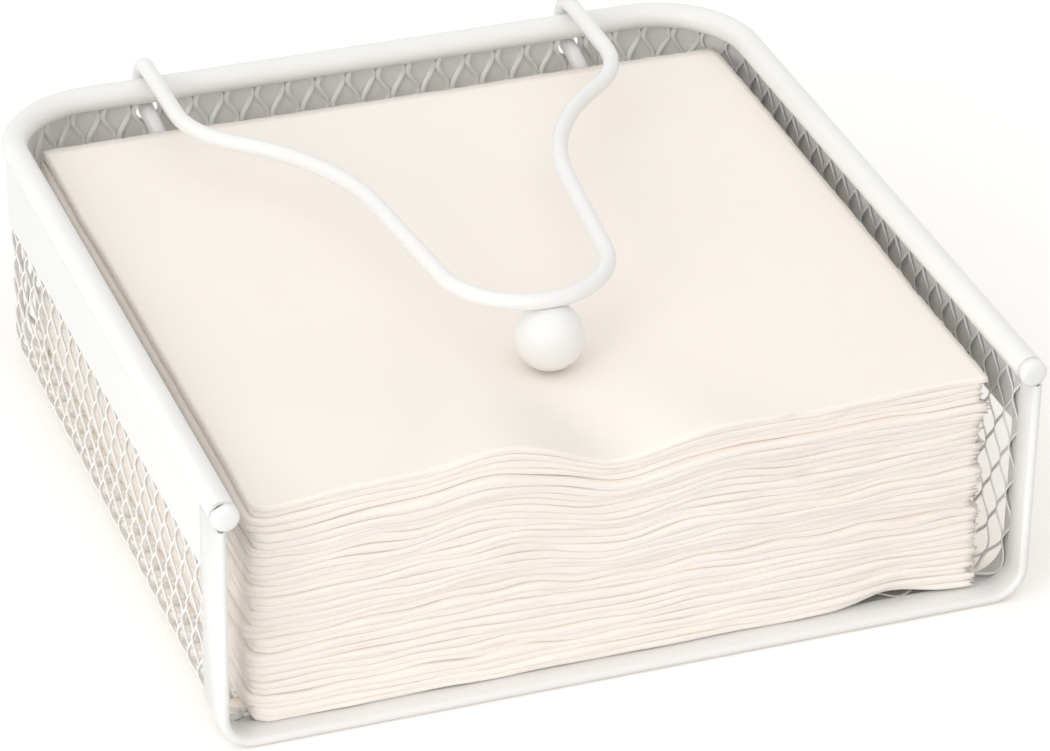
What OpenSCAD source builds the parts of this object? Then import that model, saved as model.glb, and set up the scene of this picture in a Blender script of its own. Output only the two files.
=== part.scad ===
// Napkin holder: an open-fronted tray of expanded metal with a tubular rim, a folded front
// frame and a hinged wire arm whose ball keeps the stack of folded napkins in place.
// X runs across the front, Y to the back, Z up. The origin is the middle of the footprint.

/* [Room for the napkins] */
// Side of a folded napkin
napkin_w = 164; // [140:1:180]
// Distance from the stack to the outside of the rim, at the left and the right
side_room = 10.5; // [9.5:0.5:16]
// Distance from the stack to the back of the rim
back_room = 13; // [12.5:0.5:18]
// Distance from the inner leaf of the front frame to the stack
front_gap = 0.3; // [0.3:0.1:4]

/* [Rim] */
// Height of the top of the rim tube
rim_h = 60; // [56:1:80]
// Diameter of the rim tube
tube_d = 6; // [5:0.5:8]
// Wall of the rim tube
tube_wall = 0.8; // [0.5:0.1:1.2]
// Plan radius of the back corners, at the centre of the tube
rim_corner_r = 22; // [18:1:30]
// Length of an end cap's head
cap_head = 3; // [2:0.5:5]
// Length of an end cap's plug inside the tube
cap_plug = 7; // [4:0.5:12]

/* [Band] */
// Depth of the band's lower edge below the centre of the tube
band_drop = 18; // [12:1:24]
// Thickness of the band
band_t = 0.7; // [0.5:0.1:1]
// Diameter of the two holes that the arm's hooks pass through
hook_hole_d = 5.6; // [5.2:0.1:7]

/* [Mesh] */
// Thickness of the expanded metal
mesh_t = 0.8; // [0.5:0.1:1.2]
// How far the middle of the mesh stands outside the centre of the tube
mesh_offset = 0.95; // [0.8:0.05:1.2]
// Spacing of the diamonds along a wall, rounded to fill the back wall
cell_w = 7.5; // [6:0.25:11]
// Spacing of the diamonds up a wall, from one to the next of the same column
cell_h = 12.5; // [11:0.5:18]
// Width of a strand
strand_w = 1.2; // [0.9:0.1:1.6]
// Height of the bond where four strands meet
bond_h = 2.8; // [1.5:0.1:4]

/* [Front frame] */
// Depth of the outer leaf, from the fold at the front
outer_leaf_d = 12.5; // [9:0.5:18]
// Depth of the inner leaf, from the fold at the front
inner_leaf_d = 7; // [5:0.5:9]
// Thickness of a leaf
leaf_t = 0.6; // [0.4:0.1:1]
// Outer radius of the two bottom corners
frame_corner_r = 8; // [6:0.5:12]

/* [Arm] */
// Diameter of the wire
wire_d = 3.8; // [3:0.1:4.2]
// Distance between the two legs at the rim
arm_spread = 105; // [96:1:125]
// Reach from the hinge to the middle of the front bend
arm_reach = 129; // [122:1:140]
// Radius of the hooks round the rim tube, at the middle of the wire
hook_r = 5.8; // [5.5:0.1:6.4]
// Straight length of a leg in front of its hook
leg_run = 23; // [18:1:28]
// Radius of the shoulder bends
shoulder_r = 23; // [18:1:28]
// Turn of the shoulder bends in degrees
shoulder_turn = 50; // [46:1:56]
// Radius of the long waist bends
waist_r = 54; // [48:1:60]
// Lean of the straight runs towards each other in degrees
taper = 6; // [4:0.5:8]
// Radius of the front bend
front_r = 19; // [16:0.5:22]
// Diameter of the ball
ball_d = 15.4; // [12:0.2:18]
// Downward tilt of the arm on the full stack in degrees
arm_tilt = 0.4; // [0:0.1:1]

/* [Stack] */
// Number of napkins in the stack
napkin_count = 16; // [12:1:20]
// Height of the top of the stack at its edges
stack_top = 51.5; // [48:0.5:52]
// How far the stack sits to the right of the middle
stack_shift = 1; // [-2:0.5:2]
// How far the bottom of the stack has slid out in front of its top
slide_front = 2.2; // [0:0.1:4]
// How far the bottom of the stack has slid out to the left of its top
slide_left = 2.5; // [0:0.5:4]
// Height of the ruck that the ball raises along the front edge
ruck_h = 4; // [0:0.5:5]
// Depth of the dip in front of the ball
dip_h = 3; // [0:0.5:4]

/* [Hidden] */
// Play between pieces that are welded or clamped together
fit = 0.05;
// Gap between the napkins, and under the ball and the stack
lay = 0.2;
// How far a napkin may lie out of line with its neighbours
napkin_jog = 0.5;
// How far a cut runs past what it cuts
overrun = 1;
$fn = 48;

// Main lines of the tray, which is made round the napkins
rim_w = napkin_w + 2 * side_room;
front_room = inner_leaf_d + napkin_jog + front_gap + slide_front;
rim_d = front_room + napkin_w + back_room;
half_w = (rim_w - tube_d) / 2;
overall_d = rim_d + hook_r + (wire_d - tube_d) / 2;
front_y = -overall_d / 2;
hinge_y = front_y + rim_d - tube_d / 2;
tube_z = rim_h - tube_d / 2;
corner_x = half_w - rim_corner_r;
corner_y = hinge_y - rim_corner_r;
tube_front_y = front_y + cap_head;

// Layers of the wall, as offsets outwards from the centre of the tube
mesh_in = mesh_offset - mesh_t / 2;
band_in = mesh_offset + mesh_t / 2 + fit;
band_out = band_in + band_t;
frame_t = mesh_t + 2 * fit + 2 * leaf_t;
frame_out = mesh_offset + frame_t / 2;
frame_in = mesh_offset - frame_t / 2;

// Height at which a face that stands at an offset meets the underside of the tube
function under_tube(offset) = tube_z - sqrt(pow(tube_d / 2, 2) - pow(offset, 2)) - fit;

mesh_top = under_tube(mesh_in);
band_top = under_tube(band_in);
frame_top = under_tube(min(abs(frame_in), mesh_in));

// Bottom bend of the mesh, which follows the corners of the front frame
bend_r = frame_corner_r - frame_t / 2;
bend_z = frame_t / 2 + bend_r;
bend_x = half_w + mesh_offset - bend_r;
bend_plan_r = rim_corner_r + mesh_offset - bend_r;
slot_front_y = front_y + leaf_t;
mesh_front_y = slot_front_y + fit;

// Lattice of the mesh: half columns along the walls and rows down them, both counted from a hook hole.
// Each stretch of wall has its own step, near cell_w, so that a column stands at both its ends.
hook_hole_z = tube_z - sqrt(pow(hook_r, 2) - pow((band_in + band_out) / 2, 2));
hook_cols = round(arm_spread / cell_w);
hook_step = arm_spread / hook_cols;
end_run = corner_x - arm_spread / 2;
end_half_cols = max(round(2 * end_run / cell_w), 1);
end_step = 2 * end_run / end_half_cols;
corner_run = (rim_corner_r + mesh_offset) * PI / 2;
corner_cols = round(corner_run / cell_w);
corner_step = corner_run / corner_cols;
corner_turn = 90 / corner_cols;
side_run = corner_y - mesh_front_y;
side_half_cols = round(2 * side_run / cell_w);
side_step = 2 * side_run / side_half_cols;
side_start = end_half_cols + 2 * corner_cols;
bend_arc = bend_r * PI / 4;
wall_rows = round(2 * (hook_hole_z - bend_z + bend_arc) / cell_h);
row_step = (hook_hole_z - bend_z + bend_arc) / wall_rows;
first_row = row_step - bend_arc;
base_rows = 2 * round((bend_x - first_row) / row_step / 2);
base_step = (bend_x - first_row) / base_rows;

// The openings of the mesh stand in every other place of the lattice
function is_open(column, row) = abs(column + row) % 2 == 0;

// Hooks, stubs and the ball on the arm
stub_r = 3.5;
stub_turn = 55;
stub_run = 2.2;
stub_lean = 18;
wire_sides = 14;
front_steps = 12;
bend_steps = 8;
hook_steps = 16;
stub_steps = 4;
ball_seat = 0.5;
ball_gap = fit;

// The straight runs that close the arm's outline between its bends
run_x = arm_spread / 2 - shoulder_r * (1 - cos(shoulder_turn))
    - waist_r * (cos(taper) - cos(shoulder_turn)) - front_r * cos(taper);
run_y = arm_reach - leg_run - shoulder_r * sin(shoulder_turn)
    - waist_r * (sin(shoulder_turn) - sin(taper)) - front_r * (1 - sin(taper));
run_turn = shoulder_turn - taper;
slant_run = (run_x * cos(taper) - run_y * sin(taper)) / sin(run_turn);
taper_run = (run_y * sin(shoulder_turn) - run_x * cos(shoulder_turn)) / sin(run_turn);

// Where the ball presses on the stack
ball_drop = (wire_d + ball_d) / 2 - ball_seat;
ball_y = hinge_y - arm_reach * cos(arm_tilt) + (hook_r - ball_drop) * sin(arm_tilt);
ball_z = tube_z + (hook_r - ball_drop) * cos(arm_tilt) - arm_reach * sin(arm_tilt);

// Stack of napkins: the top is pressed down round the ball, which rucks up the front edges
stack_bottom = frame_t / 2 + mesh_t / 2 + lay;
stack_front = front_y + front_room;
press = stack_top - (ball_z - ball_d / 2) + 2 * lay;
press_r = 34;
ruck_x = -27;
ruck_r = 16;
dip_r = 11;
ruck_run = 42;
jog_turn_x = 137;
jog_turn_y = 97;
// Where the lines of a napkin's grid run, closer together round the ball and the ruck
napkin_x_shares = [0, 0.17, 0.33, 0.41, 0.49, 0.56, 0.64, 0.8, 1];
napkin_y_shares = [0, 0.1, 0.19, 0.27, 0.36, 0.47, 0.62, 0.8, 1];

METAL = [0.96, 0.96, 0.94];
WIRE = [0.97, 0.97, 0.96];
PAPER = [0.97, 0.94, 0.90];

function napkin_name(i) = str("napkin_", i < 10 ? "0" : "", i);
TRAY_NODES = ["rim_tube", "rim_cap_left", "rim_cap_right", "rim_band", "front_frame", "mesh_left_wall",
    "mesh_right_wall", "mesh_back_wall", "mesh_left_corner", "mesh_right_corner", "mesh_base"];
ARM_NODES = ["arm_wire", "arm_ball"];

// A piece and its mirror image across the middle of the holder
module both_sides() {
    children();
    mirror([1, 0, 0]) children();
}

// Round bar along the rim: two sides, two back corners and the back
module rim_bar(d, front) {
    both_sides() {
        translate([half_w, corner_y, tube_z]) rotate([90, 0, 0]) cylinder(d = d, h = corner_y - front);
        translate([corner_x, corner_y, tube_z])
            rotate_extrude(angle = 90) translate([rim_corner_r, 0]) circle(d = d);
    }
    translate([-corner_x, hinge_y, tube_z]) rotate([0, 90, 0]) cylinder(d = d, h = 2 * corner_x);
}

module rim_tube() {
    color(METAL) difference() {
        rim_bar(tube_d, tube_front_y);
        rim_bar(tube_d - 2 * tube_wall, tube_front_y - overrun);
    }
}

// Plug that closes one end of the rim tube, with a chamfer round its face
module rim_cap() {
    chamfer = tube_wall / 2;
    plug_d = tube_d - 2 * tube_wall - 2 * fit;
    color(METAL) translate([half_w, front_y, tube_z]) rotate([-90, 0, 0]) {
        cylinder(d1 = tube_d - 2 * chamfer, d2 = tube_d, h = chamfer);
        translate([0, 0, chamfer]) cylinder(d = tube_d, h = cap_head - chamfer - fit);
        cylinder(d = plug_d, h = cap_head + cap_plug);
    }
}

module rim_cap_left() {
    mirror([1, 0, 0]) rim_cap();
}

module rim_cap_right() {
    rim_cap();
}

// Plan of the tray at an offset from the centre of the tube, open towards the front
module plan(offset, front) {
    r = rim_corner_r + offset;
    translate([-half_w - offset, front]) square([2 * (half_w + offset), corner_y - front]);
    translate([-corner_x, front]) square([2 * corner_x, hinge_y + offset - front]);
    for (side = [-1, 1]) translate([side * corner_x, corner_y]) circle(r = r);
}

// The two holes in the back that the hooks of the arm pass through
module hook_holes() {
    for (side = [-1, 1]) translate([side * arm_spread / 2, hinge_y, hook_hole_z])
        rotate([-90, 0, 0]) cylinder(d = hook_hole_d, h = 2 * (band_out + overrun), center = true);
}

module rim_band() {
    front = front_y + outer_leaf_d + fit;
    color(METAL) difference() {
        translate([0, 0, tube_z - band_drop]) linear_extrude(band_top - tube_z + band_drop) difference() {
            plan(band_out, front);
            plan(band_in, front - overrun);
        }
        hook_holes();
    }
}

// Section across the front frame at an offset from the centre of the tube, open at the top
module frame_section(offset, top) {
    x = half_w + offset;
    bottom = frame_out - offset;
    r = frame_corner_r - bottom;
    translate([-x, bottom + r]) square([2 * x, top - bottom - r]);
    translate([-x + r, bottom]) square([2 * (x - r), r]);
    for (side = [-1, 1]) translate([side * (x - r), bottom + r]) circle(r = r);
}

// One leaf of the frame between two offsets, from the fold to its own depth
module frame_leaf(inner, outer, depth) {
    translate([0, front_y + depth, 0]) rotate([90, 0, 0]) linear_extrude(depth) difference() {
        frame_section(outer, frame_top);
        frame_section(inner, frame_top + overrun);
    }
}

module front_frame() {
    color(METAL) {
        frame_leaf(frame_in, frame_in + leaf_t, inner_leaf_d);
        frame_leaf(frame_out - leaf_t, frame_out, outer_leaf_d);
        frame_leaf(frame_in, frame_out, leaf_t);
    }
}

// Corners of a diamond opening, blunt at its sides where the bonds are and cut off level with top
function opening(step, top) = let (
    tip = row_step - bond_h / 2,
    blunt = bond_h / 2,
    side = (step - strand_w) / 2,
    half_at = function (y) min(side, side * (tip - abs(y)) / (tip - blunt)),
    levels = concat([for (y = [-tip, -blunt, blunt, tip]) if (y < top) y], top < tip ? [top] : []))
    concat([for (y = levels) [half_at(y), y]],
        [for (y = reversed(levels)) if (half_at(y) > 0) [-half_at(y), y]]);

// Section of a mesh wall: outwards is X, up is Y, and the bottom bend turns about [0, bend_z]
module wall_section() {
    translate([bend_r - mesh_t / 2, bend_z]) square([mesh_t, mesh_top - bend_z]);
    intersection() {
        difference() {
            translate([0, bend_z]) circle(r = bend_r + mesh_t / 2);
            translate([0, bend_z]) circle(r = bend_r - mesh_t / 2);
        }
        square([bend_r + mesh_t, bend_z]);
    }
}

// One opening of a wall: turn 0 is on the wall, 45 on the bend and 90 on the base
module wall_opening(step, turn, rise, top = row_step) {
    corners = opening(step, top);
    if (len(corners) > 2) translate([0, 0, bend_z]) rotate([-turn, 0, 0]) translate([0, bend_r, rise])
        rotate([90, 0, 0]) linear_extrude(bend_r, center = true) polygon(corners);
}

// Openings of one half column, from the plain top edge down to the first row of the base
module wall_column(column, step) {
    for (row = [-1:wall_rows - 1]) if (is_open(column, row)) {
        z = hook_hole_z - row * row_step;
        wall_opening(step, 0, z - bend_z, mesh_top - strand_w - z);
    }
    if (is_open(column, wall_rows)) wall_opening(step, 45, 0);
    if (is_open(column, wall_rows + 1)) wall_opening(step, 90, -first_row);
}

// Plain straight wall along X with its outside towards Y
module straight_wall(length) {
    rotate([90, 0, 90]) linear_extrude(length) wall_section();
}

module mesh_left_wall() {
    color(METAL) translate([-bend_x, mesh_front_y, 0]) rotate([0, 0, 90]) difference() {
        straight_wall(side_run);
        for (i = [0:side_half_cols]) translate([side_run - i * side_step / 2, 0, 0])
            wall_column(side_start + i, side_step);
    }
}

module mesh_right_wall() {
    mirror([1, 0, 0]) mesh_left_wall();
}

module mesh_back_wall() {
    color(METAL) difference() {
        translate([0, corner_y + bend_plan_r, 0]) difference() {
            translate([-corner_x, 0, 0]) straight_wall(2 * corner_x);
            for (i = [-hook_cols:hook_cols]) translate([i * hook_step / 2, 0, 0])
                wall_column(i - hook_cols, hook_step);
            for (side = [-1, 1]) for (i = [1:end_half_cols])
                translate([side * (arm_spread + i * end_step) / 2, 0, 0]) wall_column(i, end_step);
        }
        hook_holes();
    }
}

module mesh_right_corner() {
    color(METAL) translate([corner_x, corner_y, 0]) difference() {
        rotate_extrude(angle = 90) translate([bend_plan_r, 0]) wall_section();
        for (i = [0:2 * corner_cols]) rotate([0, 0, -i * corner_turn / 2])
            translate([0, bend_plan_r, 0]) wall_column(end_half_cols + i, corner_step);
    }
}

module mesh_left_corner() {
    mirror([1, 0, 0]) mesh_right_corner();
}

// Corners of one opening of the base, whose long way runs across the holder as on the side walls
function base_opening(row, column) = let (
    centre = [row * base_step, corner_y - column * side_step / 2],
    tip = base_step - bond_h / 2,
    side = (side_step - strand_w) / 2)
    [for (p = [[-tip, 0], [0, -side], [tip, 0], [0, side]]) centre + p];

// Whether a point of the base lies inside its edge at the back and round the back corners
function on_base(p) = let (x = max(abs(p.x) - corner_x, 0), y = max(p.y - corner_y, 0))
    norm([x, y]) < bend_plan_r - strand_w || (y == 0 && abs(p.x) < bend_x + base_step);

module mesh_base() {
    openings = [for (row = [-base_rows:base_rows]) for (column = [-side_start:side_half_cols])
        if (is_open(side_start + column, wall_rows + 1 + base_rows - row))
        let (loop = base_opening(row, column))
        if (len([for (p = loop) if (!on_base(p)) p]) == 0) loop];
    color(METAL) translate([0, 0, bend_z - bend_r - mesh_t / 2]) linear_extrude(mesh_t) difference() {
        plan(mesh_offset - bend_r, mesh_front_y);
        for (loop = openings) polygon(loop);
    }
}

// Points of half the arm, from the middle of the front bend out and back to the end of its hook
function arm_half(lean) = let (
    heading = function (turn) [sin(turn), cos(turn), 0],
    left = function (turn) [-cos(turn), sin(turn), 0],
    front_centre = [0, front_r - arm_reach, hook_r],
    waist_start = front_centre - front_r * left(taper) + taper_run * heading(taper),
    waist_centre = waist_start - waist_r * left(taper),
    slant_start = waist_centre + waist_r * left(shoulder_turn),
    shoulder_centre = slant_start + slant_run * heading(shoulder_turn) + shoulder_r * left(shoulder_turn),
    hook_end = [arm_spread / 2, 0, -hook_r],
    aside = [sin(lean), 0, -cos(lean)],
    stub_end = hook_end + stub_r * ((1 - cos(stub_turn)) * aside - sin(stub_turn) * [0, 1, 0]))
    concat(
        [for (i = [0:front_steps]) front_centre - front_r * left(90 + (taper - 90) * i / front_steps)],
        [for (i = [0:bend_steps]) waist_centre + waist_r * left(taper + run_turn * i / bend_steps)],
        [for (i = [0:bend_steps])
            shoulder_centre - shoulder_r * left(shoulder_turn * (1 - i / bend_steps))],
        [for (i = [0:hook_steps]) let (a = 90 - 180 * i / hook_steps)
            [arm_spread / 2, hook_r * cos(a), hook_r * sin(a)]],
        [for (i = [1:stub_steps]) let (a = stub_turn * i / stub_steps)
            hook_end + stub_r * ((1 - cos(a)) * aside - sin(a) * [0, 1, 0])],
        [stub_end + stub_run * (sin(stub_turn) * aside - cos(stub_turn) * [0, 1, 0])]);

function mirrored(points) = [for (p = points) [-p.x, p.y, p.z]];
function reversed(points) = [for (i = [len(points) - 1:-1:0]) points[i]];
function unit(v) = v / norm(v);

// Tube swept along a line of points, with each ring square to the line and none twisted
module swept_tube(path, d, sides) {
    last = len(path) - 1;
    along = [for (i = [0:last]) unit(path[min(i + 1, last)] - path[max(i - 1, 0)])];
    across = [for (i = 0, n = unit(cross(along[0], [0, 1, 0])); i <= last;
        i = i + 1, n = i > last ? n : unit(n - (n * along[i]) * along[i])) n];
    rings = [for (i = [0:last]) for (k = [0:sides - 1]) let (a = 360 * k / sides)
        path[i] + d / 2 * (cos(a) * across[i] + sin(a) * cross(along[i], across[i]))];
    walls = [for (i = [0:last - 1]) for (k = [0:sides - 1]) let (
        p = i * sides + k, q = i * sides + (k + 1) % sides) each
        [[p, p + sides, q], [q, p + sides, q + sides]]];
    far = last * sides;
    ends = [for (k = [1:sides - 2]) each [[0, k, k + 1], [far, far + k + 1, far + k]]];
    polyhedron(rings, concat(walls, ends));
}

// The arm's own frame: the origin is on the hinge, the middle line of the back tube
module on_hinge() {
    translate([0, hinge_y, tube_z]) rotate([arm_tilt, 0, 0]) children();
}

module arm_wire() {
    right = arm_half(stub_lean);
    left = reversed(mirrored(arm_half(-stub_lean)));
    path = concat([for (i = [0:len(left) - 2]) left[i]], right);
    color(WIRE) on_hinge() swept_tube(path, wire_d, wire_sides);
}

// Ball under the front bend, with a saddle that the wire is seated in
module arm_ball() {
    color(WIRE) on_hinge() difference() {
        translate([0, -arm_reach, hook_r - ball_drop]) sphere(d = ball_d);
        translate([0, front_r - arm_reach, hook_r])
            rotate_extrude() translate([front_r, 0]) circle(d = wire_d + 2 * ball_gap);
    }
}

// Height of the face between napkins: 0 is the bottom of the stack and napkin_count its top
function face_share(i) = i / napkin_count;
function press_at(x, y) = press * exp(-(pow(x, 2) + pow(y - ball_y, 2)) / pow(press_r, 2));
function ruck_at(x, y) = exp(-pow((y - stack_front) / ruck_run, 2))
    * (ruck_h * exp(-pow((x - ruck_x) / ruck_r, 2)) - dip_h * exp(-pow(x / dip_r, 2)));
function face_z(i, x, y) = stack_bottom + (stack_top - stack_bottom) * face_share(i)
    + pow(face_share(i), 2) * (ruck_at(x, y) - press_at(x, y));

// Folded napkin: a soft slab between two faces of the stack, a little out of line with its neighbours
module napkin(i) {
    n = len(napkin_x_shares) - 1;
    slide = 1 - face_share(i);
    x0 = stack_shift - napkin_w / 2 - slide_left * slide + napkin_jog * sin(jog_turn_x * i);
    y0 = stack_front - slide_front * slide + napkin_jog * cos(jog_turn_y * i);
    grid = [for (side = [0, 1]) for (b = napkin_y_shares) for (a = napkin_x_shares)
        let (x = x0 + a * napkin_w, y = y0 + b * napkin_w)
        [x, y, side == 0 ? face_z(i - 1, x, y) : face_z(i, x, y) - lay]];
    top = (n + 1) * (n + 1);
    function at(a, b) = a * (n + 1) + b;
    cells = [for (a = [0:n - 1]) for (b = [0:n - 1])
        [at(a, b), at(a, b + 1), at(a + 1, b + 1), at(a + 1, b)]];
    rim = concat([for (b = [0:n]) at(0, b)], [for (a = [1:n]) at(a, n)],
        [for (b = [n - 1:-1:0]) at(n, b)], [for (a = [n - 1:-1:1]) at(a, 0)]);
    faces = concat(
        [for (c = cells) for (k = [1, 2]) [c[0], c[k], c[k + 1]]],
        [for (c = cells) for (k = [1, 2]) [top + c[0], top + c[k + 1], top + c[k]]],
        [for (k = [0:len(rim) - 1]) let (p = rim[k], q = rim[(k + 1) % len(rim)]) each
            [[p, top + p, q], [q, top + p, top + q]]]);
    color(PAPER) polyhedron(grid, faces);
}

rim_tube();
rim_cap_left();
rim_cap_right();
rim_band();
front_frame();
mesh_left_wall();
mesh_right_wall();
mesh_back_wall();
mesh_left_corner();
mesh_right_corner();
mesh_base();
arm_wire();
arm_ball();
for (i = [1:napkin_count]) napkin(i);
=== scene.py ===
"""Napkin holder: white expanded-metal tray with a wire arm on a stack of folded paper napkins.

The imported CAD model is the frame, in metres. The rim tube, the band and the ball keep their CAD shape and get
paint. The mesh panels are replaced by tilted strands on the same lattice, the front frame by a strip with a
round fold, the end caps by rounded heads on dark shanks, the arm's wire by nearly the same bends swept with a
finer ring, and each napkin by a sheet that is folded twice.
"""

import bpy
import numpy as np
from mathutils import Matrix, Vector


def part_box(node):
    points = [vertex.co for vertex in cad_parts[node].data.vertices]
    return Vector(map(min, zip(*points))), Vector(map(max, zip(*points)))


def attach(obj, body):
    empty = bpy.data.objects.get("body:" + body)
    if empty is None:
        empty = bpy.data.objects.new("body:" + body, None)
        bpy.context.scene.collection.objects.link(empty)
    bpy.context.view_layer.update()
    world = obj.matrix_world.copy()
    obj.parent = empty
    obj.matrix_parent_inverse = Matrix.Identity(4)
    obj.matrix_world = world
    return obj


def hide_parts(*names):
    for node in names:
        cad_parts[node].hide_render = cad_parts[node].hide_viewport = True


MM = 0.001

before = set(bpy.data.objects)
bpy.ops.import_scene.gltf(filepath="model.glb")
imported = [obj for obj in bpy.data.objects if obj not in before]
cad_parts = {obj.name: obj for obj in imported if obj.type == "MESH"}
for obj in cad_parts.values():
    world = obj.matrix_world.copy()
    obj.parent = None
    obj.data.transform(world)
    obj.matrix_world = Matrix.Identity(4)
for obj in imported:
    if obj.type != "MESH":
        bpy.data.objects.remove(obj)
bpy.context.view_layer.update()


# Camera, fitted to the photograph

SENSOR_W, LENS = 36, 172.05  # in mm
CLIP_END = 10
CAMERA_PLACE = (-0.3307, -0.9134, 0.6019)
CAMERA_RIGHT = Vector((0.9400, -0.3409, 0.0147))
CAMERA_UP = Vector((0.1634, 0.4876, 0.8577))


def add_camera():
    """The photograph's view: a long lens in front of the holder, to its left and above."""
    data = bpy.data.cameras.new("camera")
    data.sensor_width = SENSOR_W
    data.lens = LENS
    data.clip_end = CLIP_END
    camera = bpy.data.objects.new("camera", data)
    axes = (CAMERA_RIGHT, CAMERA_UP, CAMERA_RIGHT.cross(CAMERA_UP))
    camera.matrix_world = Matrix.Translation(CAMERA_PLACE) @ Matrix(axes).transposed().to_4x4()
    bpy.context.scene.collection.objects.link(camera)
    bpy.context.scene.camera = camera


# Materials, with the scale of their detail in waves a metre

PAINT_PATCHES, PAINT_GLOSS, ORANGE_PEEL = 45, 160, 700
TISSUE_PATCHES, EMBOSS, FIBRES = 30, 950, 1600
PAINT_SHADE, GLOSS_STEP = 0.96, 0.1  # the paint's darkest share, and how far its roughness varies
TISSUE_SHADE = (0.975, 0.96, 0.93)
PEEL_DEPTH, EMBOSS_DEPTH = 0.08 * MM, 0.1 * MM


def new_material(name, colour, roughness):
    """A Principled material, with its nodes, its links and its shader."""
    material = bpy.data.materials.new(name)
    material.use_nodes = True
    nodes, links = material.node_tree.nodes, material.node_tree.links
    shader = nodes["Principled BSDF"]
    shader.inputs["Base Color"].default_value = (*colour, 1)
    shader.inputs["Roughness"].default_value = roughness
    return material, nodes, links, shader


def noise(nodes, links, scale, detail=2.0):
    """Noise over the object's own coordinates, with `scale` in waves a metre."""
    where = nodes.new("ShaderNodeTexCoord")
    texture = nodes.new("ShaderNodeTexNoise")
    texture.inputs["Scale"].default_value = scale
    texture.inputs["Detail"].default_value = detail
    links.new(where.outputs["Object"], texture.inputs["Vector"])
    return texture.outputs["Fac"]


def ramp(nodes, links, value, low, high):
    """Colour between two ends, as a value goes from 0 to 1."""
    node = nodes.new("ShaderNodeValToRGB")
    for stop, colour in zip(node.color_ramp.elements, (low, high)):
        stop.color = (*colour, 1)
    links.new(value, node.inputs["Fac"])
    return node.outputs["Color"]


def bump(nodes, links, shader, height, strength, distance):
    """Fine relief in the normal of a shader, from a height."""
    node = nodes.new("ShaderNodeBump")
    node.inputs["Strength"].default_value = strength
    node.inputs["Distance"].default_value = distance
    links.new(height, node.inputs["Height"])
    links.new(node.outputs["Normal"], shader.inputs["Normal"])


def seen_directly(nodes, links):
    """1 for what the camera sees, also in reflections and through glass, and 0 for light on the object."""
    path = nodes.new("ShaderNodeLightPath")
    seen = path.outputs["Is Camera Ray"]
    for kind in ("Is Glossy Ray", "Is Transmission Ray"):
        either = nodes.new("ShaderNodeMath")
        either.operation = "MAXIMUM"
        links.new(seen, either.inputs[0])
        links.new(path.outputs[kind], either.inputs[1])
        seen = either.outputs[0]
    return seen


def paint(name, colour, roughness, coat):
    """White powder coat: a fine orange peel, a little uneven in gloss and in colour."""
    material, nodes, links, shader = new_material(name, colour, roughness)
    shade = tuple(PAINT_SHADE * c for c in colour)
    patches = ramp(nodes, links, noise(nodes, links, PAINT_PATCHES), shade, colour)
    links.new(patches, shader.inputs["Base Color"])
    glossy, dull = (roughness - GLOSS_STEP,) * 3, (roughness + GLOSS_STEP,) * 3
    links.new(ramp(nodes, links, noise(nodes, links, PAINT_GLOSS), glossy, dull), shader.inputs["Roughness"])
    shader.inputs["Coat Weight"].default_value = coat
    shader.inputs["Coat Roughness"].default_value = 0.18
    bump(nodes, links, shader, noise(nodes, links, ORANGE_PEEL, 1.0), 0.1, PEEL_DEPTH)
    return material


def tissue(name, colour):
    """Paper tissue: warm white, matte, lit a little from inside, with a fine emboss and soft fibres."""
    material, nodes, links, shader = new_material(name, colour, 0.92)
    shade = tuple(share * c for share, c in zip(TISSUE_SHADE, colour))
    patches = ramp(nodes, links, noise(nodes, links, TISSUE_PATCHES, 3.0), shade, colour)
    links.new(patches, shader.inputs["Base Color"])
    where = nodes.new("ShaderNodeTexCoord")
    dots = nodes.new("ShaderNodeTexVoronoi")
    dots.inputs["Scale"].default_value = EMBOSS
    dots.inputs["Randomness"].default_value = 0.35
    links.new(where.outputs["Object"], dots.inputs["Vector"])
    mixed = nodes.new("ShaderNodeMath")
    mixed.operation = "MULTIPLY_ADD"
    mixed.inputs[1].default_value = 0.6
    links.new(noise(nodes, links, FIBRES, 3.0), mixed.inputs[0])
    links.new(dots.outputs["Distance"], mixed.inputs[2])
    bump(nodes, links, shader, mixed.outputs[0], 0.3, EMBOSS_DEPTH)
    shader.inputs["Subsurface Weight"].default_value = 0.12
    shader.inputs["Subsurface Radius"].default_value = (1.0, 0.8, 0.6)
    shader.inputs["Subsurface Scale"].default_value = 0.6 * MM
    shader.inputs["Sheen Weight"].default_value = 0.1
    shader.inputs["Sheen Roughness"].default_value = 0.6
    shader.inputs["Specular IOR Level"].default_value = 0.25
    return material


# Meshes


def add_piece(name, points, faces, material, body, nodes):
    """A smooth piece on a body, in place of its CAD nodes."""
    mesh = bpy.data.meshes.new(name)
    mesh.from_pydata(np.asarray(points).tolist(), [], faces)
    mesh.polygons.foreach_set("use_smooth", [True] * len(mesh.polygons))
    mesh.materials.append(material)
    piece = bpy.data.objects.new(name, mesh)
    bpy.context.scene.collection.objects.link(piece)
    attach(piece, body)
    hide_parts(*nodes)
    return piece


def loft_faces(rings, sides, first=0):
    """Quads between closed rings of points, and a face over each end."""
    at = first + np.arange(rings * sides).reshape(rings, sides)
    on = np.roll(at, -1, axis=1)
    quads = np.stack([at[:-1], on[:-1], on[1:], at[1:]], -1).reshape(-1, 4).tolist()
    return quads + [at[0, ::-1].tolist(), at[-1].tolist()]


def unit(v):
    return v / np.linalg.norm(v, axis=-1, keepdims=True)


# Expanded metal: the lattice of the CAD model in mm, counted in half columns from a hook hole and in rows down

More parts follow.
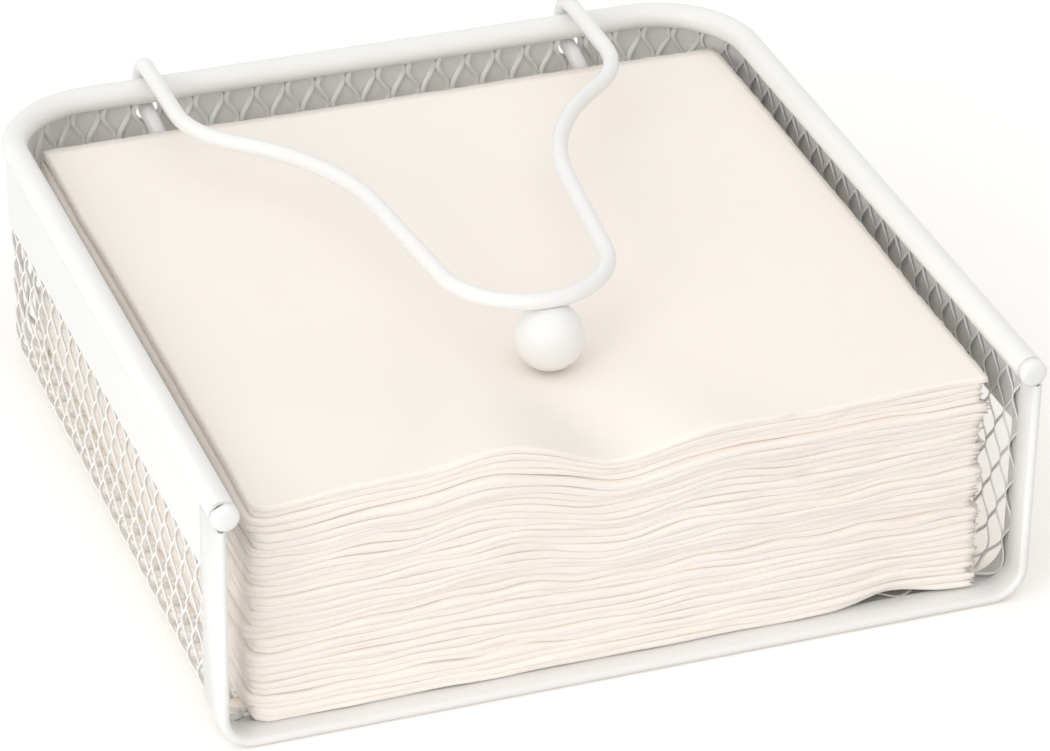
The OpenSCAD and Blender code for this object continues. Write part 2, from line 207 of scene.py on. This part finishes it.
TUBE_Z, HALF_W, CORNER_R, HINGE_Y, FRONT_Y = 57.0, 89.5, 22.0, 88.15, -95.85
MESH_OFFSET, MESH_TOP, MESH_FRONT_Y = 0.95, 54.0, -95.2
BEND_R, BEND_Z = 6.95, 8.0
CORNER_X, CORNER_Y = HALF_W - CORNER_R, HINGE_Y - CORNER_R
BEND_X = HALF_W + MESH_OFFSET - BEND_R
BEND_PLAN_R = CORNER_R + MESH_OFFSET - BEND_R
HOOK_X, HOOK_Z = 52.5, 51.47
BEND_ARC = BEND_R * np.pi / 2
BACK_HALF, CORNER_FIRST, SIDE_FIRST, SIDE_COLS = 14, 4, 14, 43
BACK_COL = HOOK_X / BACK_HALF
CORNER_COL = np.pi / 2 / (SIDE_FIRST - CORNER_FIRST)
SIDE_COL = (CORNER_Y - MESH_FRONT_Y) / SIDE_COLS
WALL_ROWS, BASE_ROWS = 8, 14
ROW = (HOOK_Z - BEND_Z + BEND_ARC / 2) / WALL_ROWS
FIRST_ROW = ROW - BEND_ARC / 2
BASE_ROW = (BEND_X - FIRST_ROW) / BASE_ROWS

STRAND_W, STRAND_T = 1.2, 0.38
TILT, BASE_TILT = np.radians((32, 20))
# Section of a strand, as shares of half its width and half its thickness
STRAND_SHARES = np.array([
    (1, 0.3), (0.75, 1), (-0.75, 1), (-1, 0.3),
    (-1, -0.3), (-0.75, -1), (0.75, -1), (1, -0.3),
])
BOND_SHARE = 0.09  # share of a row, at each of its ends, where a strand keeps to its bond
STRAIGHT, CURVED = 0.4, 0.6  # shares of a straight run and of an S between two bonds
WALL_STEPS, BASE_STEP = 56, 1.5


def zigzag(column, rows):
    """Where a strand is between a half column (0) and the next (1), as it goes down the rows."""
    row = np.floor(rows)
    start = (column + row + 1) % 2
    share = np.clip((rows - row - BOND_SHARE) / (1 - 2 * BOND_SHARE), 0, 1)
    share = STRAIGHT * share + CURVED * share * share * (3 - 2 * share)
    return np.where(start == 0, share, 1 - share)


def along_walls(column):
    """Plan of the right half of the walls at a half column.

    It gives a point on the axis of the bottom bend, the way out of the wall and the way onward.
    """
    if column <= CORNER_FIRST:
        return (HOOK_X + column * BACK_COL, CORNER_Y + BEND_PLAN_R), (0, 1), (1, 0)
    if column >= SIDE_FIRST:
        return (BEND_X, CORNER_Y - (column - SIDE_FIRST) * SIDE_COL), (1, 0), (0, -1)
    turn = (column - CORNER_FIRST) * CORNER_COL
    out, onward = (np.sin(turn), np.cos(turn)), (np.cos(turn), -np.sin(turn))
    return (CORNER_X + BEND_PLAN_R * out[0], CORNER_Y + BEND_PLAN_R * out[1]), out, onward


def strand_rings(path, facing):
    """Rings of a flat strand round a path, with its flat side towards `facing`."""
    along = unit(np.gradient(path, axis=0))
    flat = unit(facing - (facing * along).sum(-1, keepdims=True) * along)
    across = np.cross(along, flat)
    w, t = STRAND_SHARES[:, 0] * STRAND_W / 2, STRAND_SHARES[:, 1] * STRAND_T / 2
    return path[:, None] + w[:, None] * across[:, None] + t[:, None] * flat[:, None]


def bond_shift(place, tilt):
    """At a bond two strands lie side by side in the tilted plane: shift along the wall and out of it."""
    side = (1 - 2 * place) * STRAND_W / 2
    return side * np.cos(tilt), -side * np.sin(tilt)


def wall_strand(column, mirror):
    """One strand down a wall and round the bottom bend."""
    column_mm = BACK_COL if column < CORNER_FIRST else SIDE_COL
    down = np.linspace(0, MESH_TOP - BEND_Z + BEND_ARC, WALL_STEPS)
    rows = (down - MESH_TOP + HOOK_Z) / ROW
    place = zigzag(column, rows)
    turns = np.maximum(down - MESH_TOP + BEND_Z, 0) / BEND_R
    # the strands turn the same way all along the walls, as seen from outside, and less towards the base
    tilts = mirror * np.interp(turns, (0, np.pi / 2), (TILT, BASE_TILT))
    aside, depth = bond_shift(place, tilts)
    path, facing = [], []
    for s, p, a, d, turn, tilt in zip(down, place, aside, depth, turns, tilts):
        (x, y), out, onward = along_walls(column + p + a / column_mm)
        reach = (BEND_R + d) * np.cos(turn)
        z = MESH_TOP - s if turn == 0 else BEND_Z - (BEND_R + d) * np.sin(turn)
        path.append((mirror * (x + reach * out[0]), y + reach * out[1], z))
        level = np.cos(turn) * np.cos(tilt)
        facing.append((
            mirror * (level * out[0] + np.sin(tilt) * onward[0]),
            level * out[1] + np.sin(tilt) * onward[1],
            -np.sin(turn) * np.cos(tilt),
        ))
    return strand_rings(np.array(path), np.array(facing))


def base_strand(column):
    """One strand across the base, from one bottom bend to the other."""
    beyond = max((SIDE_FIRST - column - 0.5) * SIDE_COL, 0)
    end = BEND_X if beyond == 0 else CORNER_X + np.sqrt(max(BEND_PLAN_R**2 - beyond**2, 0))
    x = np.linspace(-end, end, max(int(2 * end / BASE_STEP), 2))
    inner = BEND_X - FIRST_ROW
    rows = WALL_ROWS + 1 + (inner - abs(x)) / np.where(abs(x) < inner, BASE_ROW, ROW)
    place = zigzag(column, rows)
    tilt = BASE_TILT * np.clip(x / HOOK_X, -1, 1)
    aside, depth = bond_shift(place, tilt)
    y = CORNER_Y - (column + place - SIDE_FIRST) * SIDE_COL - aside
    path = np.stack([x, y, BEND_Z - BEND_R - depth], -1)
    facing = np.stack([0 * x, -np.sin(tilt), -np.cos(tilt)], -1)
    return strand_rings(path, facing)


def add_strands(name, strands, node, material):
    """All the strands of a panel, as one piece."""
    points, faces, first = [], [], 0
    for rings in strands:
        faces += loft_faces(*rings.shape[:2], first)
        points.append(rings.reshape(-1, 3) * MM)
        first += rings.shape[0] * rings.shape[1]
    add_piece(name, np.concatenate(points), faces, material, "tray", [node])


def add_mesh(material):
    for side, mirror in (("left", -1), ("right", 1)):
        corner = [wall_strand(c, mirror) for c in range(CORNER_FIRST, SIDE_FIRST)]
        wall = [wall_strand(c, mirror) for c in range(SIDE_FIRST, SIDE_FIRST + SIDE_COLS)]
        add_strands(f"mesh_{side}_corner_strands", corner, f"mesh_{side}_corner", material)
        add_strands(f"mesh_{side}_wall_strands", wall, f"mesh_{side}_wall", material)
    back = [wall_strand(c, mirror) for mirror in (-1, 1) for c in range(-BACK_HALF, CORNER_FIRST)]
    add_strands("mesh_back_wall_strands", back, "mesh_back_wall", material)
    base_first = SIDE_FIRST - int(BEND_PLAN_R / SIDE_COL)
    base = [base_strand(c) for c in range(base_first, SIDE_FIRST + SIDE_COLS)]
    add_strands("mesh_base_strands", base, "mesh_base", material)


# Front frame: a strip folded over the edge of the mesh, and the plugs in the ends of the rim tube

FRAME_IN, FRAME_OUT, FRAME_R, FRAME_TOP = -0.1, 2.0, 6.0, 53.95
OUTER_LEAF, INNER_LEAF, LEAF_T = 12.5, 7.0, 0.6
FOLD_STEPS, CORNER_STEPS = 11, 13
CAP_R, CAP_CROWN, CAP_HEAD, CAP_END = 3.0, 1.0, 3.0, 10.0
NECK_R, SHANK_R, TIP_R = 1.4, 2.1, 0.02
CAP_SIDES, CROWN_STEPS = 40, 14
CROWN_TURN, CROWN_POWER = 1.57, 0.6  # the crown starts just short of its pole, and is flatter than a ball


def frame_profile():
    """Section of the folded strip: offset out of the wall and depth from the front, round the fold and back."""
    middle, r = (FRAME_IN + FRAME_OUT) / 2, (FRAME_OUT - FRAME_IN) / 2
    turn = np.linspace(0, np.pi, FOLD_STEPS)
    nib = LEAF_T / 4

    def fold(radius):
        return [(middle + radius * np.cos(a), r - radius * np.sin(a)) for a in turn]

    outer = [(FRAME_OUT - nib, OUTER_LEAF), (FRAME_OUT, OUTER_LEAF - nib), *fold(r)]
    tip = [(FRAME_IN, INNER_LEAF - nib), (FRAME_IN + nib, INNER_LEAF), (FRAME_IN + LEAF_T - nib, INNER_LEAF)]
    inner = [(FRAME_IN + LEAF_T, INNER_LEAF - nib), *fold(r - LEAF_T)[::-1]]
    end = [(FRAME_OUT - LEAF_T, OUTER_LEAF - nib), (FRAME_OUT - LEAF_T + nib, OUTER_LEAF)]
    return np.array(outer + tip + inner + end)


def add_front_frame(material):
    profile = frame_profile()
    rings = []

    def ring(x, z, out_x, out_z):
        rings.append([(x + o * out_x, FRONT_Y + d, z + o * out_z) for o, d in profile])

    turns = np.linspace(0, np.pi / 2, CORNER_STEPS)
    ring(-HALF_W, FRAME_TOP, -1, 0)
    for turn in turns:
        c, s = np.cos(turn), np.sin(turn)
        ring(-BEND_X - FRAME_R * c, BEND_Z - FRAME_R * s, -c, -s)
    for turn in turns[::-1]:
        c, s = np.cos(turn), np.sin(turn)
        ring(BEND_X + FRAME_R * c, BEND_Z - FRAME_R * s, c, -s)
    ring(HALF_W, FRAME_TOP, 1, 0)
    points = np.array(rings)
    faces = loft_faces(*points.shape[:2])
    points = points.reshape(-1, 3) * MM
    add_piece("front_frame_strip", points, faces, material, "tray", ["front_frame"])


def add_cap(name, x, gap, turn_to, materials):
    """Plug whose rounded head stands off the end of the tube by `gap` on one side, and its dark shank."""
    turn = np.linspace(0, 2 * np.pi, CAP_SIDES, endpoint=False)
    open_share = ((1 + np.cos(turn - np.radians(turn_to))) / 2) ** 4
    dome = [
        (CAP_R * max(np.cos(a), 0) ** CROWN_POWER, CAP_CROWN * (1 - np.sin(a)))
        for a in np.linspace(CROWN_TURN, 0, CROWN_STEPS)
    ]
    profiles = {
        "head": [*dome, (CAP_R, CAP_HEAD - 0.3), (CAP_R - 0.2, CAP_HEAD - 0.1), (TIP_R, CAP_HEAD - 0.1)],
        "shank": [
            (TIP_R, CAP_CROWN), (NECK_R, CAP_CROWN), (NECK_R, CAP_HEAD + 0.5),
            (SHANK_R, CAP_HEAD + 0.8), (SHANK_R, CAP_END - 0.4), (TIP_R, CAP_END),
        ],
    }
    for (part, profile), material in zip(profiles.items(), materials):
        rings = []
        for radius, depth in profile:
            away = gap * open_share if part == "head" and 2 * depth > CAP_HEAD else 0 * turn
            y = FRONT_Y + depth - away
            rings.append(np.stack([x + radius * np.cos(turn), y, TUBE_Z + radius * np.sin(turn)], -1))
        points = np.array(rings)
        faces = loft_faces(*points.shape[:2])
        add_piece(f"{name}_{part}", points.reshape(-1, 3) * MM, faces, material, "tray", [name])


# Arm: the CAD model's bends in mm, in the frame of the hinge, swept with a finer ring, and with longer stubs

WIRE_R, ARM_SPREAD, ARM_REACH, HOOK_R, LEG_RUN, FRONT_R = 1.9, 105.0, 129.0, 5.8, 23.0, 19.0
SHOULDER_R, WAIST_R, STUB_R, STUB_RUN = 23.0, 54.0, 3.5, 3.2
SHOULDER, TAPER, STUB_TURN, STUB_LEAN, ARM_TILT = np.radians((50, 6, 55, 18, 0.4))
BEND_STEPS, STUB_STEPS, WIRE_SIDES = 120, 60, 24
END_TURNS = np.radians((30, 60, 85))  # rings that round off each end of the wire


def arm_half(lean):
    """Points of half the arm, from the middle of the front bend out and back to the end of its stub."""

    def heading(turn):
        return np.stack([np.sin(turn), np.cos(turn), 0 * turn], -1)

    def left(turn):
        return np.stack([-np.cos(turn), np.sin(turn), 0 * turn], -1)

    run_x = ARM_SPREAD / 2 - SHOULDER_R * (1 - np.cos(SHOULDER)) - FRONT_R * np.cos(TAPER)
    run_x -= WAIST_R * (np.cos(TAPER) - np.cos(SHOULDER))
    run_y = ARM_REACH - LEG_RUN - SHOULDER_R * np.sin(SHOULDER) - FRONT_R * (1 - np.sin(TAPER))
    run_y -= WAIST_R * (np.sin(SHOULDER) - np.sin(TAPER))
    slant = (run_x * np.cos(TAPER) - run_y * np.sin(TAPER)) / np.sin(SHOULDER - TAPER)
    taper = (run_y * np.sin(SHOULDER) - run_x * np.cos(SHOULDER)) / np.sin(SHOULDER - TAPER)
    front = np.array((0, FRONT_R - ARM_REACH, HOOK_R))
    waist = front - FRONT_R * left(TAPER) + taper * heading(TAPER) - WAIST_R * left(TAPER)
    shoulder = waist + (WAIST_R + SHOULDER_R) * left(SHOULDER) + slant * heading(SHOULDER)
    hook = np.linspace(np.pi / 2, -np.pi / 2, BEND_STEPS)
    bend = np.linspace(0, STUB_TURN, STUB_STEPS)[1:, None]
    hook_end, ahead = np.array((ARM_SPREAD / 2, 0, -HOOK_R)), np.array((0, -1, 0))
    aside = np.array((np.sin(lean), 0, -np.cos(lean)))
    stub = hook_end + STUB_R * ((1 - np.cos(bend)) * aside + np.sin(bend) * ahead)
    end = stub[-1] + STUB_RUN * (np.sin(STUB_TURN) * aside + np.cos(STUB_TURN) * ahead)
    return np.concatenate([
        front - FRONT_R * left(np.linspace(np.pi / 2, TAPER, BEND_STEPS)),
        waist + WAIST_R * left(np.linspace(TAPER, SHOULDER, BEND_STEPS)),
        shoulder - SHOULDER_R * left(np.linspace(SHOULDER, 0, BEND_STEPS)),
        np.stack([0 * hook + ARM_SPREAD / 2, HOOK_R * np.cos(hook), HOOK_R * np.sin(hook)], -1),
        stub,
        [end],
    ])


def add_arm_wire(material):
    right, other = arm_half(STUB_LEAN), arm_half(-STUB_LEAN) * (-1, 1, 1)
    path = np.concatenate([other[:0:-1], right])
    # even steps of a millimetre, and each end is rounded off by smaller rings
    length = np.append(0, np.cumsum(np.linalg.norm(np.diff(path, axis=0), axis=1)))
    steps = np.linspace(0, length[-1], int(length[-1]))
    path = np.stack([np.interp(steps, length, path[:, i]) for i in range(3)], -1)
    first, last = unit(path[0] - path[1]), unit(path[-1] - path[-2])
    ends = [np.sin(END_TURNS)[:, None] * WIRE_R * v for v in (first, last)]
    path = np.concatenate([(path[0] + ends[0])[::-1], path, path[-1] + ends[1]])
    radii, end_radii = np.full(len(path), WIRE_R), WIRE_R * np.cos(END_TURNS)
    radii[: len(END_TURNS)], radii[-len(END_TURNS) :] = end_radii[::-1], end_radii
    along = unit(np.gradient(path, axis=0))
    turn = np.linspace(0, 2 * np.pi, WIRE_SIDES, endpoint=False)[:, None]
    across = unit(np.cross(along[0], (0, 1, 0)))
    rings = []
    for point, forward, radius in zip(path, along, radii):
        across = unit(across - (across @ forward) * forward)
        rings.append(point + radius * (np.cos(turn) * across + np.sin(turn) * np.cross(forward, across)))
    points = np.array(rings)
    c, s = np.cos(ARM_TILT), np.sin(ARM_TILT)
    points = points @ np.array(((1, 0, 0), (0, c, s), (0, -s, c))) + (0, HINGE_Y, TUBE_Z)
    faces = loft_faces(*points.shape[:2])
    add_piece("arm_wire_rod", points.reshape(-1, 3) * MM, faces, material, "arm", ["arm_wire"])


# The stack of napkins

NAPKINS = sorted(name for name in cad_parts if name.startswith("napkin_"))
SHEET = 328 * MM  # side of a napkin before it is folded twice
SIDE = SHEET / 2
LAYERS = 4
TISSUE = 0.3 * MM
FRONT_LIP, SIDE_LIP = 0.5 * MM, 1.0 * MM  # how far the folds bulge out
ROUND = 4 * MM  # rounding of the corner between them
GAP_X, GAP_R = 62 * MM, 9 * MM  # where the lowest lips leave a gap over the front frame
STACK_TOP = 51.5 * MM
SEED = 540
SIDE_STEPS, FRONT_STEPS = 11, 9  # steps round the two folds
RUNS, TOP_RUNS = (84, 24), (110, 90)  # steps along the leaves, and along those of the top napkin
TORN, TORN_TOP = 0.5, 0.1  # raggedness of the cut edges in mm, and of those of the top napkin
JOG, JOG_MOST = 0.5, 0.9  # how far napkins lie out of line, in mm
HANG, ASKEW = 4.2 * MM, 2.4 * MM  # how far the lowest lips hang forward, and the top ones lie askew
PINCH, RELIEF, LIP_WAVE, SIDE_WAVE = 0.3 * MM, 0.15 * MM, 0.6 * MM, 0.5 * MM
DENT, DENT_R = 0.6 * MM, 2.5 * MM
SPREAD_RUN, OVER_RUN = 6 * MM, 5 * MM  # how far in the lips spread, and ride up over the front frame
FACE_SHIFT, FACE_WAVE = 0.12, 0.37  # in napkins; together below a half, so that no two faces cross
RIPPLE = 0.4 * MM

stack_low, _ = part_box(NAPKINS[0])
ball_low, ball_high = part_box("arm_ball")
ball = (ball_low + ball_high) / 2
BALL_GAP = 0.25 * MM
DIMPLE, DIMPLE_R = 0.7 * MM, 6 * MM
PRESS = STACK_TOP - ball_low.z + BALL_GAP - DIMPLE
PRESS_R = 34 * MM
CONTACT_R = 15 * MM

# The waves that the ball raises along the front edge: place, height and half width of each, in mm
RUCKS = [(-27, 4.0, 15), (-58, 1.6, 14), (-1, -3.2, 11), (23, 1.2, 12), (52, -0.4, 14)]


def smooth_noise(rng, n=5, span=SIDE):
    """A soft random line along a side, as a function of a place from 0 to the side's length, within about 1."""
    terms = [(k, rng.normal() / k**0.6, rng.uniform(0, 2 * np.pi)) for k in range(1, n + 1)]
    total = sum(abs(a) for _, a, _ in terms)
    return lambda x: sum(a * np.sin(2 * np.pi * k * x / span + p) for k, a, p in terms) / total


def soft_field(rng, waves, u_range, v_range):
    """A soft random field over two coordinates, within about 1: waves whose lengths lie in the two ranges."""
    terms = [
        (2 * np.pi / rng.uniform(*u_range), 2 * np.pi / rng.uniform(*v_range), *rng.uniform(0, 2 * np.pi, 2))
        for _ in range(waves)
    ]
    return lambda u, v: sum(np.sin(a * u + p) * np.sin(b * v + q) for a, b, p, q in terms) / waves**0.5


def near_ball(x, y, r):
    return np.exp(-((x - ball.x) ** 2 + (y - ball.y) ** 2) / r**2)


def ruck(x, y):
    """Height of the waves: full at the front edge, running towards the ball and dying out behind it."""
    along = np.clip((y - stack_low.y) / (ball.y - stack_low.y), 0, 3)
    fade = np.exp(-1.1 * along**1.6)
    place = ball.x + (x - ball.x) / (1 - 0.45 * np.clip(along, 0, 1))
    waves = sum(h * MM * np.exp(-(((place - c * MM) / (w * MM)) ** 2)) for c, h, w in RUCKS)
    return fade * waves * (1 - near_ball(x, y, CONTACT_R))


def level(share, x, y, ripple):
    """Height in the stack: share 0 is its bottom and 1 its top, which the ball presses down."""
    flat = stack_low.z + (STACK_TOP - stack_low.z) * share
    calm = 1 - near_ball(x, y, 2 * CONTACT_R)
    press = PRESS * near_ball(x, y, PRESS_R) + DIMPLE * near_ball(x, y, DIMPLE_R)
    return flat + share**1.4 * (ruck(x, y) + RIPPLE * calm * ripple(x, y)) - share**2 * press


def fold_line(run, bend, crowd):
    """Steps along a sheet that runs one way, folds and comes back: place along the run and turn of the fold."""
    there = np.linspace(1, 0, run) ** crowd
    turn = np.linspace(-90, 90, bend)
    place = np.concatenate([there, np.zeros(bend - 2), there[::-1]])
    turns = np.concatenate([np.full(run, -90.0), turn[1:-1], np.full(run, 90.0)])
    return place, np.radians(turns)


def folded_napkin(name, edges, runs, rng, ripple, material):
    """A sheet folded first at the front and then at the left, between two wavy faces of the stack."""
    low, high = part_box(name)
    across, side_turn = fold_line(runs[0], SIDE_STEPS, 1.0)
    along, front_turn = fold_line(runs[1], FRONT_STEPS, 1.6)
    across, along = np.meshgrid(across, along)
    side_turn, front_turn = np.meshgrid(side_turn, front_turn)
    half = np.sin(side_turn)  # -1 in the lower half and 1 in the upper one
    inner = (1 + np.sin(front_turn)) / 2  # 0 outside the left fold and 1 inside it
    leaf = 1.5 + half * (1.5 - inner)
    # the four leaves end unevenly on the cut sides, and their edges are torn
    ends_x = np.interp(leaf, range(LAYERS), [*rng.uniform(-1.0, 0.4, LAYERS - 1), 0.4]) * MM
    ends_y = np.interp(leaf, range(LAYERS), [*rng.uniform(-1.5, 0.3, LAYERS - 1), -0.8]) * MM
    torn = TORN_TOP if name == NAPKINS[-1] else TORN
    tear_x, tear_y = torn * MM * rng.standard_normal((2, *across.shape))
    lip_wave, side_wave = smooth_noise(rng, 8), smooth_noise(rng, 9)
    jog_x, jog_y = np.clip(rng.normal(0, JOG, 2), -JOG_MOST, JOG_MOST) * MM
    relief = soft_field(rng, 8, (6 * MM, 45 * MM), (1.2, 5.0))
    pinch = soft_field(rng, 6, (20 * MM, 80 * MM), (1.0, 3.0))
    height = (low.z + high.z) / 2 / STACK_TOP
    # the lowest lips hang over the inner leaf of the front frame
    forward = HANG * (1 - height) ** 4
    loose = min(3 * height + 0.2, 1)
    calm = min(4 - 4 * height + 0.2, 1)
    x0 = low.x + SIDE_LIP + (0.5 * jog_x + SIDE_WAVE * side_wave(along * SIDE)) * calm
    y0 = low.y + 1.0 * MM + loose * (jog_y + LIP_WAVE * lip_wave(across * SIDE)) - forward
    # the upper ones lie a little askew
    askew = ASKEW * height**6 * (1 - (1 - along) ** 2)
    x = x0 + across * (high.x - x0 + ends_x + askew) + np.where(across > 0.999, tear_x, 0)
    y = y0 + along * (high.y - y0 + ends_y) + np.where(along > 0.999, tear_y, 0)
    # the two lips of a napkin meet in a thinner line than two napkins
    front = np.cos(front_turn).clip(0)
    bulge = front ** np.where(front_turn > 0, 0.2, 0.45)
    x -= SIDE_LIP * (1 - 0.45 * inner) * np.cos(side_turn).clip(0) ** 0.8
    y -= (FRONT_LIP + PINCH * pinch(x, half) + RELIEF * relief(x, front_turn + 3 * half)) * bulge
    for _ in range(rng.poisson(1.0)):
        place, upper = rng.uniform(low.x, high.x), rng.choice((-1, 1))
        dent = np.exp(-(((x - place) / DENT_R) ** 2) - (half - upper) ** 2)
        y += DENT * dent * front
    corner = np.clip(1 - (x - x0 + SIDE_LIP) / ROUND, 0, 1)
    y += ROUND * (1 - np.sqrt(1 - corner**2)) * np.exp(-along * SIDE / (4 * ROUND))
    # towards the folds the leaves spread until the lips of the stack meet
    near = np.exp(-((np.minimum(across, along) * SIDE / SPREAD_RUN) ** 2))
    spread = half * (1 + (0.5 - inner) * (1 + 0.6 * near * (1 + 0.2 * pinch(x, half + 2))))
    bottom, top = (edge(x - low.x) for edge in edges)
    share = bottom + (top - bottom) * (0.5 + spread / LAYERS)
    over_leaf = (1 - share) ** 8 * np.exp(-((along * SIDE / OVER_RUN) ** 2))
    # a gap stays where they ride up
    gap = np.exp(-(((x - GAP_X) / GAP_R) ** 2))
    y += 3 * MM * over_leaf * gap
    ride_up = 0.5 + 0.3 * side_wave(across * SIDE).clip(0) + gap
    z = level(share, x, y, ripple) + over_leaf * ride_up * MM
    rows, columns = x.shape
    at = np.arange(rows * columns).reshape(rows, columns)
    quads = np.stack([at[:-1, :-1], at[:-1, 1:], at[1:, 1:], at[1:, :-1]], -1).reshape(-1, 4).tolist()
    points = np.stack([x, y, z], -1).reshape(-1, 3)
    sheet = add_piece(name + "_sheet", points, quads, material, "tray", [name])
    thickness = sheet.modifiers.new("tissue", "SOLIDIFY")
    thickness.thickness = TISSUE
    thickness.offset = 0
    return sheet


def napkin_faces(count, rng):
    """Faces between the napkins, as shares of the stack's height that waver along the front."""
    waves = [smooth_noise(rng, 9) for _ in range(count + 1)]
    shifts = rng.uniform(-FACE_SHIFT, FACE_SHIFT, count + 1)

    def face(i):
        if i in (0, count):
            return lambda x: np.full_like(x, i / count)
        return lambda x: (i + shifts[i] + FACE_WAVE * waves[i](x)) / count

    return [face(i) for i in range(count + 1)]


def add_napkins(material):
    """The stack from the bottom up, each napkin on the one below it."""
    rng = np.random.default_rng(SEED)
    faces = napkin_faces(len(NAPKINS), rng)
    ripple = soft_field(rng, 7, (50 * MM, 160 * MM), (50 * MM, 160 * MM))
    for i, name in enumerate(NAPKINS):
        runs = TOP_RUNS if name == NAPKINS[-1] else RUNS
        sheet = folded_napkin(name, (faces[i], faces[i + 1]), runs, rng, ripple, material)


# Stage

FLOOR_SIZE, FLOOR_DROP = 6, 0.05 * MM
FLOOR_GREY = (0.68, 0.68, 0.68)
# what the camera sees of the floor: light times the first, plus the second, so that its shadow is warm
FLOOR_LIT, FLOOR_GLOW = (0.74, 0.88, 1.0, 1), (0.32, 0.18, 0.06, 1)
WORLD_COLOUR, WORLD_TURN = (1.0, 0.992, 0.98, 1), -0.3
LIGHT_AIM = Vector((0, 0, 0.03))


def add_floor():
    """White floor: neutral to the light, and to the camera white with the object's soft warm shadow on it."""
    bpy.ops.mesh.primitive_plane_add(size=FLOOR_SIZE, location=(0, 0, -FLOOR_DROP))
    floor = bpy.context.object
    floor.name = "floor"
    material, nodes, links, shader = new_material("floor_white", FLOOR_GREY, 0.9)
    floor.data.materials.append(material)
    lit = nodes.new("ShaderNodeBsdfDiffuse")
    lit.inputs["Color"].default_value = FLOOR_LIT
    glow = nodes.new("ShaderNodeEmission")
    glow.inputs["Color"].default_value = FLOOR_GLOW
    white = nodes.new("ShaderNodeAddShader")
    links.new(lit.outputs[0], white.inputs[0])
    links.new(glow.outputs[0], white.inputs[1])
    either = nodes.new("ShaderNodeMixShader")
    links.new(seen_directly(nodes, links), either.inputs[0])
    links.new(shader.outputs[0], either.inputs[1])
    links.new(white.outputs[0], either.inputs[2])
    links.new(either.outputs[0], nodes["Material Output"].inputs["Surface"])


def add_world(weak, strong, side):
    """Soft light from all round, stronger from one side, and plain white to the camera."""
    world = bpy.data.worlds.new("world")
    bpy.context.scene.world = world
    world.use_nodes = True
    nodes, links = world.node_tree.nodes, world.node_tree.links
    light = nodes["Background"]
    light.inputs["Color"].default_value = WORLD_COLOUR
    where = nodes.new("ShaderNodeTexCoord")
    toward = nodes.new("ShaderNodeVectorMath")
    toward.operation = "DOT_PRODUCT"
    toward.inputs[1].default_value = Vector(side).normalized()
    links.new(where.outputs["Generated"], toward.inputs[0])
    strength = nodes.new("ShaderNodeMapRange")
    strength.inputs["From Min"].default_value = WORLD_TURN
    strength.inputs["To Min"].default_value = weak
    strength.inputs["To Max"].default_value = strong
    links.new(toward.outputs["Value"], strength.inputs["Value"])
    links.new(strength.outputs["Result"], light.inputs["Strength"])
    white = nodes.new("ShaderNodeBackground")
    white.inputs["Color"].default_value = (1, 1, 1, 1)
    white.inputs["Strength"].default_value = 1
    either = nodes.new("ShaderNodeMixShader")
    links.new(seen_directly(nodes, links), either.inputs[0])
    links.new(light.outputs[0], either.inputs[1])
    links.new(white.outputs[0], either.inputs[2])
    links.new(either.outputs[0], nodes["World Output"].inputs["Surface"])


def add_light(name, place, size, power, colour):
    """Rectangular light of a width and a height, aimed at the holder."""
    data = bpy.data.lights.new(name, "AREA")
    data.shape = "RECTANGLE"
    data.size, data.size_y = size
    data.energy = power
    data.color = colour
    light = bpy.data.objects.new(name, data)
    light.location = place
    light.rotation_euler = (LIGHT_AIM - Vector(place)).to_track_quat("-Z", "Y").to_euler()
    bpy.context.scene.collection.objects.link(light)


bpy.context.scene.view_settings.view_transform = "Standard"
add_camera()
tray_paint = paint("tray_paint", (0.88, 0.88, 0.865), 0.38, 0.2)
wire_paint = paint("wire_paint", (0.885, 0.885, 0.875), 0.32, 0.3)
# the tray's powder coat made lighter on the mesh strands: painted light that brightens the shaded mesh
lightened_mesh_paint = paint("lightened_mesh_paint", (0.93, 0.93, 0.915), 0.38, 0.2)
# a dark colour for the caps' shanks, which shows as the dark slit where the left cap's head stands off the tube
dark_shank = paint("dark_shank", (0.10, 0.098, 0.095), 0.55, 0.0)
for name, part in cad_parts.items():
    part.data.materials.clear()
    part.data.materials.append(wire_paint if name.startswith("arm_") else tray_paint)
add_mesh(lightened_mesh_paint)
add_front_frame(tray_paint)
add_cap("rim_cap_left", -HALF_W, 1.2, 120, (wire_paint, dark_shank))
add_cap("rim_cap_right", HALF_W, 0.1, 90, (wire_paint, dark_shank))
add_arm_wire(wire_paint)
add_napkins(tissue("napkin_tissue", (0.96, 0.9, 0.85)))
add_floor()
add_world(0.4, 1.15, (-0.3, -0.1, 0.95))
add_light("key", (-1.1, -0.72, 0.65), (0.7, 0.5), 2.8, (1.0, 0.985, 0.965))
add_light("fill", (-0.25, -1.2, 0.7), (0.6, 0.5), 1.2, (1.0, 0.99, 0.98))
add_light("low_left", (-0.5, -0.35, 0.03), (0.7, 0.05), 0.7, (1.0, 0.99, 0.97))
